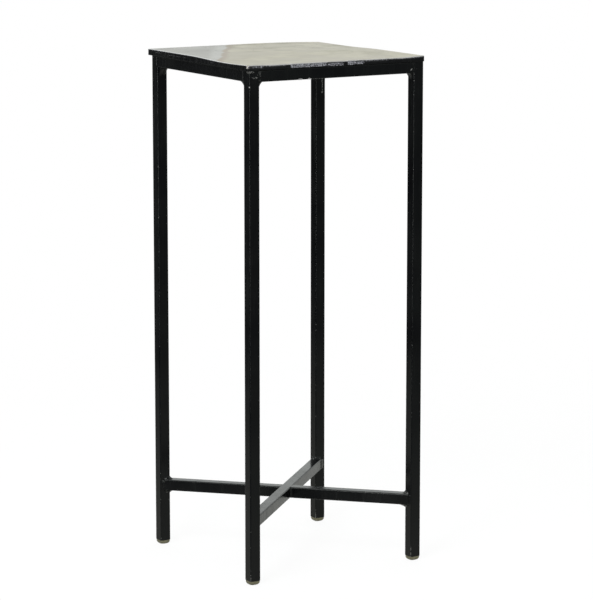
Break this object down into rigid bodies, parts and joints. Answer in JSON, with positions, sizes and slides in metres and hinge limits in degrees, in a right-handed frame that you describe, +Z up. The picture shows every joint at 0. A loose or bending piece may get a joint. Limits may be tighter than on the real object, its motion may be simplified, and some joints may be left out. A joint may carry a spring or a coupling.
{
  "type": "square pedestal table",
  "caption": "Tall square pedestal table: a thick metal top with dressed edges on a welded black frame of square steel tube, with a low cross stretcher and plastic glides.",
  "frame": {"origin": "centre of the square frame at floor level", "axes": "+Z up; the front is -Y and the left is -X, with the sides of the square along X and Y"},
  "size_m": [0.3561, 0.356, 0.906],
  "materials": {
    "top_steel": "satin warm grey metal with a faint patina, black lacquer on the sides rubbed through to bare metal along the edges",
    "frame_lacquer": "glossy black lacquer over dressed welds",
    "glide_plastic": "olive beige moulded plastic, satin"
  },
  "bodies": {
    "root": {"top_plate": "top_steel", "front_rail": "frame_lacquer", "right_rail": "frame_lacquer", "back_rail": "frame_lacquer", "left_rail": "frame_lacquer", "front_left_leg": "frame_lacquer", "front_right_leg": "frame_lacquer", "back_right_leg": "frame_lacquer", "back_left_leg": "frame_lacquer", "long_stretcher": "frame_lacquer", "front_right_stretcher": "frame_lacquer", "back_left_stretcher": "frame_lacquer", "front_left_glide": "glide_plastic", "front_right_glide": "glide_plastic", "back_right_glide": "glide_plastic", "back_left_glide": "glide_plastic", "front_left_corner_weld": "frame_lacquer", "front_right_corner_weld": "frame_lacquer", "back_right_corner_weld": "frame_lacquer", "back_left_corner_weld": "frame_lacquer", "front_left_stretcher_weld": "frame_lacquer", "front_right_stretcher_weld": "frame_lacquer", "back_right_stretcher_weld": "frame_lacquer", "back_left_stretcher_weld": "frame_lacquer", "crossing_weld": "frame_lacquer", "top_stitch_welds": "frame_lacquer"}
  },
  "joints": []
}
